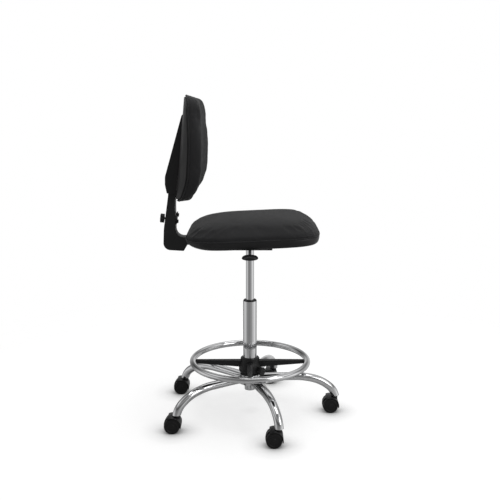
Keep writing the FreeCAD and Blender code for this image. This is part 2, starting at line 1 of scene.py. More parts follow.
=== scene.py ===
# %% [markdown]
# # A drafting chair, finished in Blender
# The chair's pieces were built to size elsewhere and arrive here as a fixed frame: tubes,
# casters, bar, boards and screws, each in its own node. This lesson gives every surface its
# finish and builds the soft and moulded pieces that a flat drawing can't give.

# %% Load the frame
import json
import math

import bmesh
import bpy
import numpy as np
from mathutils import Matrix, Vector


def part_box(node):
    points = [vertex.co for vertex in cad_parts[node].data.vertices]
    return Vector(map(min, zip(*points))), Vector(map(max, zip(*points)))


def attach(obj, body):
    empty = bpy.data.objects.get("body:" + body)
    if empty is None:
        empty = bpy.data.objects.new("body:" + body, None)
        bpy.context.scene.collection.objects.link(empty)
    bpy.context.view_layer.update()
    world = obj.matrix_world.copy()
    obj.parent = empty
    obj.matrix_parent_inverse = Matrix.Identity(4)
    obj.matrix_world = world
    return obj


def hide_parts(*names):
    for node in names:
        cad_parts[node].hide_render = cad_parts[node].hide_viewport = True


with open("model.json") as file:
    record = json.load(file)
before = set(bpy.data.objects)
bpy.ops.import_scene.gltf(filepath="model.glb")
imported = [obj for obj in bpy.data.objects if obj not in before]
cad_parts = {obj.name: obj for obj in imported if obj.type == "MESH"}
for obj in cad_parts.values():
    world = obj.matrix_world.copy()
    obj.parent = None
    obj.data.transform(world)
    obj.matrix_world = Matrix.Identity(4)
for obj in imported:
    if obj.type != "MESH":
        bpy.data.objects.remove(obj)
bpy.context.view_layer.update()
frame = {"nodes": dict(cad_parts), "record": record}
MM = 0.001

# %% [markdown]
# ## The camera
# The view is a level-headed product view: the camera stands to the sitter's right, about as
# high as the top of the backrest, and looks slightly down at the column. A lens longer than
# normal keeps the seat's sides nearly parallel.

# %% Camera
CAMERA_AWAY = 2.603
CAMERA_HEIGHT = 1.0925
CAMERA_DOWN = math.radians(11.103)
LENS = 55.906

view_camera = bpy.data.cameras.new("side_camera")
view_camera.lens = LENS
view_camera.sensor_width = 36.0
camera = bpy.data.objects.new("side_camera", view_camera)
camera.location = (0, -CAMERA_AWAY, CAMERA_HEIGHT)
camera.rotation_euler = (math.pi / 2 - CAMERA_DOWN, 0, 0)
bpy.context.scene.collection.objects.link(camera)
bpy.context.scene.camera = camera
print("camera at", tuple(camera.location))

# %% [markdown]
# ## Small helpers for materials
# Every finish here is a Principled shader with a few procedural nodes in front of it. The
# helpers below add a node, set its sockets and join it up, so that each finish reads as a
# short recipe. Coordinates are always the object's own, so a pattern travels with its piece.

# %% Material helpers
# Where a Mix node keeps its two ends: numbers at sockets 2 and 3, colours at 6 and 7.
NUMBER_ENDS, NUMBER_OUT = (2, 3), 0
COLOUR_ENDS, COLOUR_OUT = (6, 7), 2


class Finish:
    """A material being built, with short calls for its nodes."""

    def __init__(self, name):
        self.material = bpy.data.materials.new(name)
        self.material.use_nodes = True
        self.tree = self.material.node_tree
        self.shader = self.tree.nodes["Principled BSDF"]
        self.place = self.add("ShaderNodeTexCoord").outputs["Object"]

    def add(self, kind, links=None, **values):
        """Add a node, set its values, and join or set each socket named in links."""
        node = self.tree.nodes.new(kind)
        for key, value in values.items():
            setattr(node, key, value)
        for socket, source in (links or {}).items():
            if hasattr(source, "is_output"):
                self.tree.links.new(source, node.inputs[socket])
            else:
                node.inputs[socket].default_value = source
        return node

    def math(self, operation, first, second=0.0, clamp=False):
        return self.add("ShaderNodeMath", {0: first, 1: second},
                        operation=operation, use_clamp=clamp).outputs[0]

    def noise(self, scale, detail=3.0, roughness=0.5):
        """Soft noise that travels with the piece; scale is about how many blobs fit in a metre."""
        links = {"Vector": self.place, "Scale": scale, "Detail": detail, "Roughness": roughness}
        return self.add("ShaderNodeTexNoise", links).outputs["Fac"]

    def spread(self, value, low, high, ends):
        """Stretch value from the range low to high onto the range that ends gives."""
        links = {"Value": value, "From Min": low, "From Max": high,
                 "To Min": ends[0], "To Max": ends[1]}
        return self.add("ShaderNodeMapRange", links).outputs["Result"]

    def blend(self, factor, tones):
        """Colour between a dark and a light tone."""
        node = self.add("ShaderNodeMix", {"Factor": factor}, data_type="RGBA")
        for index, tone in zip(COLOUR_ENDS, tones):
            node.inputs[index].default_value = (*tone, 1)
        return node.outputs[COLOUR_OUT]

    def between(self, factor, first, second):
        """Number between two others."""
        node = self.add("ShaderNodeMix", {"Factor": factor}, data_type="FLOAT")
        for index, source in zip(NUMBER_ENDS, (first, second)):
            self.tree.links.new(source, node.inputs[index])
        return node.outputs[NUMBER_OUT]

    def bump(self, height, depth_mm, strength=1.0, under=None):
        """Normal of a relief depth_mm deep, laid over the bump given as under."""
        links = {"Height": height, "Distance": depth_mm * MM, "Strength": strength}
        if under is not None:
            links["Normal"] = under
        return self.add("ShaderNodeBump", links).outputs["Normal"]

    def connect(self, **sources):
        for socket, source in sources.items():
            self.tree.links.new(source, self.shader.inputs[socket.replace("_", " ")])

    def fix(self, **values):
        for socket, value in values.items():
            self.shader.inputs[socket.replace("_", " ")].default_value = value


print("material helpers ready")

# %% [markdown]
# ## Chrome plating
# Plated tube is a mirror with a slight waviness left by the polishing wheel. A metallic shader
# at low roughness gives the mirror. Very wide, shallow noise bends the reflections a little,
# and fine smudges vary the roughness, so the highlights look handled and not computed.

# %% Chrome
CHROME_TONES = ((0.68, 0.685, 0.695), (0.77, 0.77, 0.775))
CHROME_ROUGHNESS = (0.05, 0.13)
POLISHING_WAVE_MM = 0.5


def chrome_finish():
    chrome = Finish("chrome_plate")
    smudge = chrome.noise(38.0, 4.0, 0.6)
    waves = chrome.noise(16.0, 1.5, 0.4)
    chrome.connect(Base_Color=chrome.blend(chrome.noise(9.0), CHROME_TONES),
                   Roughness=chrome.spread(smudge, 0.3, 0.75, CHROME_ROUGHNESS),
                   Normal=chrome.bump(waves, POLISHING_WAVE_MM, 0.12))
    chrome.fix(Metallic=1.0)
    return chrome.material


FINISHES = {"chrome": chrome_finish()}
print("made", FINISHES["chrome"].name, "roughness", CHROME_ROUGHNESS)

# %% [markdown]
# ## Machined steel
# Pins, clips and screws are bare steel with fine turning marks. Noise squeezed along one axis
# gives the marks, as bump and as a faint streak in the colour.

# %% Machined steel
STEEL_TONES = ((0.42, 0.42, 0.43), (0.60, 0.60, 0.61))
STEEL_ROUGHNESS = (0.24, 0.42)
TURNING_MARKS = (30, 30, 900)


def stretched_noise(finish, stretch, scale):
    """Noise squeezed by a different amount along each axis, for turning marks and grain."""
    squeezed = finish.add("ShaderNodeMapping", {"Vector": finish.place, "Scale": stretch})
    links = {"Vector": squeezed.outputs[0], "Scale": scale}
    return finish.add("ShaderNodeTexNoise", links).outputs["Fac"]


def machined_steel_finish():
    steel = Finish("machined_steel")
    marks = stretched_noise(steel, TURNING_MARKS, 2.0)
    steel.connect(Base_Color=steel.blend(marks, STEEL_TONES),
                  Roughness=steel.spread(marks, 0.3, 0.7, STEEL_ROUGHNESS),
                  Normal=steel.bump(marks, 0.05, 0.5))
    steel.fix(Metallic=1.0)
    return steel.material


FINISHES["steel"] = machined_steel_finish()
print("made", FINISHES["steel"].name, "roughness", STEEL_ROUGHNESS)

# %% [markdown]
# ## Black powder coat
# Baked powder leaves a satin skin with a very fine orange-peel. Two sizes of noise make it:
# millimetre-wide peel for the bump and a wide cloud that shifts the tone.

# %% Powder coat
POWDER_TONES = ((0.011, 0.011, 0.012), (0.022, 0.022, 0.023))
POWDER_ROUGHNESS = (0.34, 0.48)
PEEL_MM = 0.12


def powder_coat_finish():
    coat = Finish("black_powder_coat")
    peel = coat.noise(650.0, 2.0)
    cloud = coat.noise(14.0, 3.0)
    coat.connect(Base_Color=coat.blend(cloud, POWDER_TONES),
                 Roughness=coat.spread(peel, 0.3, 0.7, POWDER_ROUGHNESS),
                 Normal=coat.bump(peel, PEEL_MM, 0.5))
    return coat.material


FINISHES["black_steel"] = powder_coat_finish()
print("made", FINISHES["black_steel"].name, "roughness", POWDER_ROUGHNESS)

# %% [markdown]
# ## Moulded black plastic
# Covers, the pan and the foot ring's hub are moulded in a textured tool. Cells of about half
# a millimetre give the grain, wide noise makes some patches a touch smoother, and the colour
# drifts a little. One recipe serves three plastics: the covers, the glossier caster hoods and
# the duller wheels.

# %% Moulded plastic
# Slot, name, dark and light tone, roughness, cells in a metre, depth of the grain in mm.
MOULDED_PLASTICS = [
    ("black_plastic", "moulded_black", ((0.007, 0.007, 0.0075), (0.014, 0.014, 0.0145)),
     (0.38, 0.52), 1500.0, 0.10),
    ("caster_plastic", "hood_nylon", ((0.003, 0.003, 0.0035), (0.008, 0.008, 0.0085)),
     (0.26, 0.38), 2400.0, 0.04),
    ("wheel_plastic", "wheel_nylon", ((0.003, 0.003, 0.0035), (0.009, 0.009, 0.009)),
     (0.42, 0.58), 1800.0, 0.08),
]
PLASTIC_SHINE = 0.32


def moulded_finish(name, tones, roughness, grain_cells, grain_mm):
    plastic = Finish(name)
    cell_links = {"Vector": plastic.place, "Scale": grain_cells}
    cells = plastic.add("ShaderNodeTexVoronoi", cell_links).outputs["Distance"]
    worn = plastic.noise(22.0, 4.0, 0.6)
    plastic.connect(Base_Color=plastic.blend(worn, tones),
                    Roughness=plastic.spread(worn, 0.3, 0.7, roughness),
                    Normal=plastic.bump(cells, grain_mm, 0.4))
    plastic.fix(Specular_IOR_Level=PLASTIC_SHINE)
    return plastic.material


for slot, *recipe in MOULDED_PLASTICS:
    FINISHES[slot] = moulded_finish(*recipe)
    print("made", FINISHES[slot].name, "roughness", recipe[2])

# %% [markdown]
# ## Woven upholstery
# The seat cloth is a plain weave: one thread over, one under. Each thread is a rounded ridge,
# so the height is a sine across the thread, and a chequerboard decides which set of threads is
# on top. The pattern is laid on from three sides and the surface's normal picks the side, so no
# unwrapping is needed and it survives the simulation. The height also paints shade into the
# colour: darker in the dips between threads, lighter on their crowns.

# %% Upholstery cloth
THREADS_PER_METRE = 620.0
CLOTH_TONES = ((0.006, 0.006, 0.0065), (0.021, 0.021, 0.022))
CLOTH_ROUGHNESS = (0.78, 0.95)
THREAD_MM = 0.35
PULL_MM = 1.2
SIDE_SHARPNESS = 6.0
# Shares of the colour given to painted weave shade and to random slub tone.
PAINTED_WEAVE_SHADE, SLUB_SHADE = 0.45, 0.55


def weave_height(cloth, across, along):
    """Height of a plain weave on two coordinates given in metres."""
    first = cloth.math("MULTIPLY", across, THREADS_PER_METRE)
    second = cloth.math("MULTIPLY", along, THREADS_PER_METRE)
    ridges = [cloth.math("ABSOLUTE", cloth.math("SINE", cloth.math("MULTIPLY", line, math.pi)))
              for line in (first, second)]
    cells = cloth.math("ADD", cloth.math("FLOOR", first), cloth.math("FLOOR", second))
    over = cloth.math("ABSOLUTE", cloth.math("MODULO", cells, 2.0))
    return cloth.between(over, *ridges)


def three_sided_weave(cloth):
    """The weave laid on from three sides and blended by which way the surface faces."""
    place = cloth.add("ShaderNodeSeparateXYZ", {0: cloth.place}).outputs
    facing = cloth.add("ShaderNodeNewGeometry").outputs["Normal"]
    sides = cloth.add("ShaderNodeSeparateXYZ", {0: facing}).outputs
    weights = [cloth.math("POWER", cloth.math("ABSOLUTE", side), SIDE_SHARPNESS) for side in sides]
    total = cloth.math("ADD", cloth.math("ADD", weights[0], weights[1]), weights[2])
    height = None
    for weight, (u, v) in zip(weights, ((1, 2), (0, 2), (0, 1))):
        share = cloth.math("DIVIDE", weight, total)
        part = cloth.math("MULTIPLY", share, weave_height(cloth, place[u], place[v]))
        height = part if height is None else cloth.math("ADD", height, part)
    return height


def upholstery_finish():
    cloth = Finish("black_upholstery")
    height = three_sided_weave(cloth)
    slub = cloth.noise(210.0, 3.0, 0.7)
    cloud = cloth.noise(7.0, 3.0)
    # Colour mixes painted shade from the weave height (dips darker, crowns lighter) with random
    # slub tone.
    shade = cloth.math("ADD", cloth.math("MULTIPLY", height, PAINTED_WEAVE_SHADE),
                       cloth.math("MULTIPLY", slub, SLUB_SHADE))
    pulled = cloth.bump(cloud, PULL_MM, 0.35)
    cloth.connect(Base_Color=cloth.blend(shade, CLOTH_TONES),
                  Roughness=cloth.spread(slub, 0.3, 0.7, CLOTH_ROUGHNESS),
                  Normal=cloth.bump(height, THREAD_MM, 0.55, under=pulled))
    cloth.fix(Sheen_Weight=0.10, Sheen_Roughness=0.4, Specular_IOR_Level=0.22)
    return cloth.material


FINISHES["seat_fabric"] = upholstery_finish()
print("made", FINISHES["seat_fabric"].name, "with", THREADS_PER_METRE, "threads in a metre")

# %% [markdown]
# ## Moulded plywood
# The hidden boards are pressed beech ply. Noise drawn out along the board gives a grain that
# runs one way, and the same noise lifts it very slightly.

# %% Plywood
PLY_TONES = ((0.42, 0.27, 0.14), (0.66, 0.48, 0.29))
PLY_ROUGHNESS = (0.5, 0.7)
PLY_GRAIN = (60, 4, 60)


def plywood_finish():
    ply = Finish("beech_ply")
    grain = stretched_noise(ply, PLY_GRAIN, 3.0)
    ply.connect(Base_Color=ply.blend(grain, PLY_TONES),
                Roughness=ply.spread(grain, 0.3, 0.7, PLY_ROUGHNESS),
                Normal=ply.bump(grain, 0.2, 0.4))
    return ply.material


FINISHES["plywood"] = plywood_finish()
print("made", FINISHES["plywood"].name, "roughness", PLY_ROUGHNESS)

# %% [markdown]
# ## A finish for every piece
# The frame's record names the material of each node: chrome for the tubes, steel for pins,
# plastic for covers, and so on. A single pass hands out the materials, so a piece can't be
# forgotten. Painting them by hand, one at a time, would work too but is easy to get wrong.

# %% Give every node its finish
for part in frame["record"]["subparts"]:
    node = frame["nodes"][part["node"]]
    node.data.materials.clear()
    node.data.materials.append(FINISHES[part["material_slot"]])

# %% [markdown]
# ## Broken edges
# No moulded or pressed edge is knife sharp. The exact solids arrive with sharp edges, so their
# split corners are welded and a small rounding is laid along every edge that turns more than
# forty degrees. The rounding catches a thin line of light, which is how the eye finds an edge.

# %% Round the edges of moulded and machined pieces
EDGE_TURN = math.radians(40)
EDGE_STEPS = 3
WELD_GAP = 0.01 * MM
# Radius of each rounding in millimetres.
EDGE_ROUNDS = {"back_bar_cover": 1.6, "back_shell": 0.8, "back_knob": 0.9, "back_clamp_plate": 0.7,
               "foot_ring_spider": 1.2, "foot_ring_knob": 0.9, "mechanism_housing": 0.5,
               "lever_paddle": 0.8, "column_bushing": 0.3, "back_bar": 0.5, "back_post": 0.5}
EDGE_ROUNDS.update({"caster_hood_%d" % k: 0.8 for k in range(1, 6)})
for name, radius in EDGE_ROUNDS.items():
    piece = frame["nodes"][name]
    weld = piece.modifiers.new("weld", "WELD")
    weld.merge_threshold = WELD_GAP
    edge = piece.modifiers.new("edge", "BEVEL")
    edge.width = radius * MM
    edge.segments = EDGE_STEPS
    edge.limit_method = "ANGLE"
    edge.angle_limit = EDGE_TURN
    edge.harden_normals = True
print("edges rounded on", len(EDGE_ROUNDS), "pieces")

# %% [markdown]
# ## Shapes made in rings
# Both cushions and the pan start as a stack of closed rings. Each ring is the outline seen from
# above (or from the front), drawn a little smaller or larger and moved along the thickness.
# Joining neighbouring rings gives a closed skin that can be shaped with a few numbers.

# %% Rings to a closed mesh
STRAIGHT_ON = 1e-4


def rounded_outline(corners, step=6 * MM):
    """Points round a closed polygon of (a, b, radius) corners, arcs and edges evenly cut."""
    points = []
    for index, (a, b, radius) in enumerate(corners):
        here = Vector((a, b))
        before = Vector(corners[index - 1][:2]) - here
        after = Vector(corners[(index + 1) % len(corners)][:2]) - here
        before.normalize()
        after.normalize()
        half = before.angle(after) / 2
        if radius == 0 or abs(half - math.pi / 2) < STRAIGHT_ON:
            points.append(here)
            continue
        middle = here + (before + after).normalized() * (radius / math.sin(half))
        start = here + before * (radius / math.tan(half)) - middle
        turn = (math.pi - 2 * half) * (1 if before.cross(after) < 0 else -1)
        count = max(3, int(abs(turn) * radius / step))
        for k in range(count + 1):
            points.append(middle + Matrix.Rotation(turn * k / count, 2) @ start)
    even = []
    for index, point in enumerate(points):
        following = points[(index + 1) % len(points)]
        count = max(1, round((following - point).length / step))
        even += [point.lerp(following, k / count) for k in range(count)]
    return even


def ringed_mesh(name, rings):
    """Closed skin through rings of equal length, capped at both ends."""
    build = bmesh.new()
    rows = [[build.verts.new(point) for point in ring] for ring in rings]
    size = len(rows[0])
    for low, high in zip(rows, rows[1:]):
        for k in range(size):
            build.faces.new((low[k], low[(k + 1) % size], high[(k + 1) % size], high[k]))
    build.faces.new(rows[0][::-1])
    build.faces.new(rows[-1])
    bmesh.ops.recalc_face_normals(build, faces=build.faces)
    mesh = bpy.data.meshes.new(name)
    build.to_mesh(mesh)
    build.free()
    piece = bpy.data.objects.new(name, mesh)
    bpy.context.scene.collection.objects.link(piece)
    return piece


def apply_modifiers(piece):
    """Bake a piece's modifiers into its mesh."""
    graph = bpy.context.evaluated_depsgraph_get()
    graph.update()
    baked = bpy.data.meshes.new_from_object(piece.evaluated_get(graph))
    piece.modifiers.clear()
    old, piece.data = piece.data, baked
    baked.name = old.name
    bpy.data.meshes.remove(old)


def smooth(piece):
    """Shade a piece as one soft surface."""
    piece.data.polygons.foreach_set("use_smooth", [True] * len(piece.data.polygons))
    piece.data.update()


sample = rounded_outline([(0, 0, 0.02), (0.1, 0, 0.02), (0.1, 0.1, 0.02), (0, 0.1, 0.02)])
print("a 100 mm square with 20 mm corners is cut into", len(sample), "points")

# %% [markdown]
# ## Filling a cushion
# Real foam pushes its cover outwards until the stitching holds it. Cloth under pressure does
# the same: the skin is cut into even 5 mm cells, held where it is sewn or stapled, made a touch
# too large, and blown up for twenty steps. What comes out has the soft swell and the small
# puckers of a stuffed seat. Each point may only travel a few millimetres from where it began.

# %% Pressure and slack
PUFF_STEPS = 20
PUFF_CELL = 5 * MM
PUFF_PRESSURE = 4.0
PUFF_QUALITY = 5
CLOTH_TENSION = 12
CLOTH_BENDING = 0.6
FINER_LEVELS = 1


def points_of(piece):
    """A piece's vertices as rows of three numbers."""
    flat = np.empty(len(piece.data.vertices) * 3)
    piece.data.vertices.foreach_get("co", flat)
    return flat.reshape(-1, 3)


def puffed(piece, held, travel, slack):
    """Blow the piece up as cloth. held(point) is True where the cover is fastened."""
    cells = piece.modifiers.new("cells", "REMESH")
    cells.mode = "VOXEL"
    cells.voxel_size = PUFF_CELL
    apply_modifiers(piece)
    start = points_of(piece)
    sewn = piece.vertex_groups.new(name="sewn")
    sewn.add([k for k, point in enumerate(start) if held(point)], 1.0, "REPLACE")
    cover = piece.modifiers.new("cover", "CLOTH")
    cover.settings.vertex_group_mass = "sewn"
    cover.settings.use_pressure = True
    cover.settings.uniform_pressure_force = PUFF_PRESSURE
    cover.settings.shrink_min = -slack
    cover.settings.quality = PUFF_QUALITY
    cover.settings.effector_weights.gravity = 0
    cover.settings.tension_stiffness = CLOTH_TENSION
    cover.settings.bending_stiffness = CLOTH_BENDING
    cover.collision_settings.use_collision = False
    cover.point_cache.frame_start = 1
    cover.point_cache.frame_end = PUFF_STEPS
    for step in range(1, PUFF_STEPS + 1):
        bpy.context.scene.frame_set(step)
    apply_modifiers(piece)
    bpy.context.scene.frame_set(1)
    move = points_of(piece) - start
    reach = np.linalg.norm(move, axis=1, keepdims=True)
    move *= np.minimum(1.0, travel / np.maximum(reach, 1e-9))
    piece.data.vertices.foreach_set("co", (start + move).ravel())
    finer = piece.modifiers.new("finer", "SUBSURF")
    finer.levels = finer.render_levels = FINER_LEVELS
    apply_modifiers(piece)
    smooth(piece)
    print(piece.name, "moved up to", round(float(reach.max()) * 1000, 1), "mm, held to",
          round(travel * 1000, 1), "mm;", len(piece.data.vertices), "points")
    return piece


print("cloth cells", round(PUFF_CELL * 1000, 1), "mm, blown up for", PUFF_STEPS, "steps")

# %% [markdown]
# ## Piping, and dressing a finished piece
# Where two pieces of cover meet, an upholsterer sews in a thin cord. It is a round tube swept
# along the seam's own line, so it sits exactly on the seam. Every finished piece is then given
# its material and tied to the body that it travels with, which one helper does the same way
# each time.

# %% Piping and dressing
CORD_ROUNDNESS = 3


def cord_tube(name, path, radius):
    """Round cord along a closed path of points."""
    curve = bpy.data.curves.new(name, "CURVE")
    curve.dimensions = "3D"
    curve.bevel_depth = radius
    curve.bevel_resolution = CORD_ROUNDNESS
    line = curve.splines.new("POLY")
    line.points.add(len(path) - 1)
    for point, place in zip(line.points, path):
        point.co = (*place, 1)
    line.use_cyclic_u = True
    holder = bpy.data.objects.new(name, curve)
    bpy.context.scene.collection.objects.link(holder)
    graph = bpy.context.evaluated_depsgraph_get()
    graph.update()
    mesh = bpy.data.meshes.new_from_object(holder.evaluated_get(graph))
    bpy.data.objects.remove(holder)
    tube = bpy.data.objects.new(name, mesh)
    bpy.context.scene.collection.objects.link(tube)
    smooth(tube)
    return tube


def dress(piece, body, slot, *stands_for):
    """Give a finished piece its material, its slot and the body it travels with."""
    piece.data.materials.clear()
    piece.data.materials.append(FINISHES[slot])
    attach(piece, body)
    if stands_for:
        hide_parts(*stands_for)
    return piece


print("helpers for piping and dressing ready")

# %% [markdown]
# ## The seat's outline
# Seen from above the seat is a squarish oval, so its sides draw in a little between the
# corners. The whole seat tips up two and a half degrees towards the front. Pan, cover and
# piping all use this one outline, so they meet everywhere.

# %% Seat outline
TILT = math.radians(2.5)
SEAT_LOW, SEAT_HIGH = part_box("seat_cushion")
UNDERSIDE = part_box("seat_tray")[0].z + 8.4 * MM
SEAT_MIDDLE = 20 * MM
SQUARENESS = 4.8
FRONT_EASE, REAR_EASE = 2, 7
AROUND = 120


def seat_point(x, y, rise):
    """From the seat's level plan to its place: tipped up towards the front."""
    return Vector((x * math.cos(TILT) - rise * math.sin(TILT), y,
                   UNDERSIDE + x * math.sin(TILT) + rise * math.cos(TILT)))


def seat_outline(angle):
    """Squarish oval seen from above, longer behind the middle than in front of it."""
    along, across = math.cos(angle), math.sin(angle)
    reach = SEAT_HIGH.x - SEAT_MIDDLE if along > 0 else SEAT_MIDDLE - SEAT_LOW.x
    reach += (FRONT_EASE if along > 0 else REAR_EASE) * MM
    power = 2 / SQUARENESS
    return (SEAT_MIDDLE + math.copysign(abs(along) ** power, along) * reach,
            math.copysign(abs(across) ** power, across) * SEAT_HIGH.y)


print("seat outline", round(SEAT_HIGH.x - SEAT_LOW.x, 4), "by", round(2 * SEAT_HIGH.y, 4))

# %% [markdown]
# ## The pan under the seat
# A moulded pan closes the seat from below. Its rim meets the cushion all round, its sides curve
# in to a flat underside, and the rear is cut away in a long slope so that the bar has room.
# Its rings run up the outside and down the inside, so that it is a thin shell as the moulded
# one is and not a block.

# %% Seat pan
RIM = 25 * MM
PAN_DRAW_IN, PAN_REAR_SLOPE = 0.04, 0.19
PAN_STEPS = 8
PAN_WALL = 0.015
PAN_FLOOR = 2 * MM
UNDERSIDE_RINGS = (0.6, 0.3)
INSIDE_WALL_RINGS = (0, 2, 4, 6)
INSIDE_FLOOR_RINGS = (0.1, 0.3, 0.6)


def pan_ring(share, wall=0.0, lift=0.0):
    """One ring of the pan: share 0 is the rim, 1 the flat underside; wall draws it inwards."""
    ring = []
    for k in range(AROUND):
        angle = 2 * math.pi * k / AROUND
        x, y = seat_outline(angle)
        rearward = max(0.0, -math.cos(angle))
        slope = PAN_DRAW_IN + PAN_REAR_SLOPE * rearward ** 2
        draw_in = 1 - wall - slope * (1 - math.cos(math.pi / 2 * share))
        rise = RIM * (1 - math.sin(math.pi / 2 * share)) + lift
        ring.append(seat_point(SEAT_MIDDLE + (x - SEAT_MIDDLE) * draw_in, y * draw_in, rise))
    return ring


def seat_pan():
    rings = [pan_ring(1.0, wall) for wall in UNDERSIDE_RINGS]
    rings += [pan_ring(step / PAN_STEPS) for step in range(PAN_STEPS, -1, -1)]
    rings += [pan_ring(step / PAN_STEPS, PAN_WALL) for step in INSIDE_WALL_RINGS]
    rings += [pan_ring(1.0, wall, PAN_FLOOR) for wall in INSIDE_FLOOR_RINGS]
    piece = ringed_mesh("seat_pan", rings)
    smooth(piece)
    return piece


pan = dress(seat_pan(), "seat", "black_plastic", "seat_tray")
print("seat pan", [round(v, 4) for v in pan.dimensions])

# %% [markdown]
# ## The seat cushion
# The seat is moulded foam on a board, covered in black cloth that is pulled down and fastened
# in the pan below. Its top is nearly flat, the front falls away in a rounded edge for the knees,
# and the rear slopes more gently. Every ring above the rim follows one rounding law, which keeps
# the surface free of facets. A box with rounded edges would be quicker, but its corners would
# look sawn.

# %% Seat cushion
SEAT_THICK = 77 * MM
# How far the seam stands above the rim: at the front, and how much more at the rear, in mm.
SEAM_FRONT, SEAM_REAR = 4, 13
# Rings under the seam: share of the outline, and how far down towards the rim (1 is all the way).
TUCKED_RINGS = [(0.12, 1.0), (0.5, 1.0), (0.9, 1.0), (0.968, 1.0), (0.985, 0.85), (0.997, 0.4)]
CROWN_STEPS = 22
PLAN_ROUNDING, HEIGHT_ROUNDING = 2.7, 2.1
SMALLEST_RING = 0.02
SEWN_HEIGHT = 3 * MM
SEAT_TRAVEL, SEAT_SLACK = 5 * MM, 0.006
WELT_SHARE, WELT_DROP, WELT_RADIUS = 0.992, 0.9, 2.6 * MM


def seat_ring(scale, rise_share, below=0.0):
    """One ring of the cushion: rise_share 0 is the seam and 1 the top; below drops to the rim."""
    ring = []
    for k in range(AROUND):
        angle = 2 * math.pi * k / AROUND
        x, y = seat_outline(angle)
        rearward = (1 - math.cos(angle)) / 2
        tip = RIM + (SEAM_FRONT + SEAM_REAR * rearward) * MM
        swell = rise_share ** (1 + rearward ** 2)
        rise = tip + swell * (SEAT_THICK - tip) - below * (tip - RIM)
        ring.append(seat_point(SEAT_MIDDLE + (x - SEAT_MIDDLE) * scale, y * scale, rise))
    return ring


def seat_cushion():
    rings = [seat_ring(scale, 0.0, below) for scale, below in TUCKED_RINGS]
    for k in range(CROWN_STEPS + 1):
        bend = math.pi / 2 * k / CROWN_STEPS
        rings.append(seat_ring(max(math.cos(bend), SMALLEST_RING) ** (2 / PLAN_ROUNDING),
                               math.sin(bend) ** (2 / HEIGHT_ROUNDING)))
    piece = ringed_mesh("seat_cover", rings)
    sewn_height = RIM + SEWN_HEIGHT

    def held(point):
        rise = (point[2] - UNDERSIDE) * math.cos(TILT) - point[0] * math.sin(TILT)
        return rise < sewn_height

    return puffed(piece, held, travel=SEAT_TRAVEL, slack=SEAT_SLACK)


seat_cover = dress(seat_cushion(), "seat", "seat_fabric", "seat_cushion")
seat_seam = seat_ring(WELT_SHARE, 0.0, WELT_DROP)
dress(cord_tube("seat_welt", seat_seam, WELT_RADIUS), "seat", "seat_fabric")
print("seat cushion", [round(v, 4) for v in seat_cover.dimensions])

# %% [markdown]
# ## The back cushion
# The backrest's pad is cut like a tall shield: widest in its lower half, narrower at the top
# and drawn in sharply at the bottom. It is curved round the sitter and leans with the
# bar. The pad is drawn flat, its front edge is rounded over, the middle is crowned, and every
# point is then wrapped on a cylinder and tipped forward.

# %% Back cushion
LEAN = math.radians(5.5)
LEAN_PIVOT = Vector((-268, 0, 640)) * MM
PAD_FACE = -217 * MM
PAD_CURVE = 480 * MM
PAD_DEEP = 39 * MM
PAD_CENTRE = 930 * MM
# Corners of the flat outline in mm: across, height, radius of the corner. Right side, top down.
PAD_TOP, PAD_BOTTOM = (0, 1106, 0), (0, 753, 0)
PAD_SIDE = [(128, 1101, 62), (194, 960, 240), (205, 850, 60), (175, 773, 98)]
PAD_SHAPE = [PAD_TOP, *PAD_SIDE, PAD_BOTTOM, *[(-a, b, r) for a, b, r in reversed(PAD_SIDE)]]
PAD_CUT = 8 * MM
# Rings of the rear: share of the outline, and how far in front of the rear face, in mm.
PAD_REAR_RINGS = [(0.1, 0.6), (0.5, 0.6), (0.9, 0.6), (0.955, 0.6), (0.985, 3), (1.0, 9)]
PAD_EDGE, PAD_EDGE_STEPS, PAD_DRAW_IN = 20 * MM, 16, 0.055
# Rings of the crown: share of the outline, and how far in front of the edge, in mm.
PAD_CROWN_RINGS = [(0.7, 3), (0.5, 5), (0.25, 6), (0.06, 6.4)]
SEWN_BAND = 7 * MM
PAD_TRAVEL, PAD_SLACK = 5 * MM, 0.008
BACK_WELT_SHARE, BACK_WELT_FORWARD, BACK_WELT_RADIUS = 0.988, 2.5 * MM, 2.2 * MM


def leaned(point):
    """Tip a point of the upright backrest forward about the foot of the bar."""
    return LEAN_PIVOT + Matrix.Rotation(LEAN, 3, "Y") @ (point - LEAN_PIVOT)


def pad_point(y, z, forward):
    """Wrap a point of the flat pad on the cylinder round the sitter, and lean it."""
    radius = PAD_CURVE - forward
    return leaned(Vector((PAD_FACE + PAD_CURVE - math.sqrt(radius * radius - y * y), y, z)))


def pad_ring(scale, forward):
    """One ring of the pad: the outline at a scale, moved forward from the edge's front."""
    corners = [(a * MM, b * MM, r * MM) for a, b, r in PAD_SHAPE]
    return [pad_point(a * scale, PAD_CENTRE + (b - PAD_CENTRE) * scale, forward)
            for a, b in rounded_outline(corners, PAD_CUT)]


def back_cushion():
    rings = [pad_ring(scale, -PAD_DEEP + forward * MM) for scale, forward in PAD_REAR_RINGS]
    for k in range(PAD_EDGE_STEPS + 1):
        bend = math.pi / 2 * k / PAD_EDGE_STEPS
        rings.append(pad_ring(1 - PAD_DRAW_IN * (1 - math.cos(bend)),
                              -PAD_EDGE + math.sin(bend) * PAD_EDGE))
    rings += [pad_ring(scale, rise * MM) for scale, rise in PAD_CROWN_RINGS]
    piece = ringed_mesh("back_cover", rings)
    unlean = Matrix.Rotation(-LEAN, 3, "Y")

    def held(point):
        flat = LEAN_PIVOT + unlean @ (Vector(point) - LEAN_PIVOT)
        out = math.hypot(flat.x - PAD_FACE - PAD_CURVE, flat.y) - PAD_CURVE
        return out > PAD_DEEP - SEWN_BAND

    return puffed(piece, held, travel=PAD_TRAVEL, slack=PAD_SLACK)


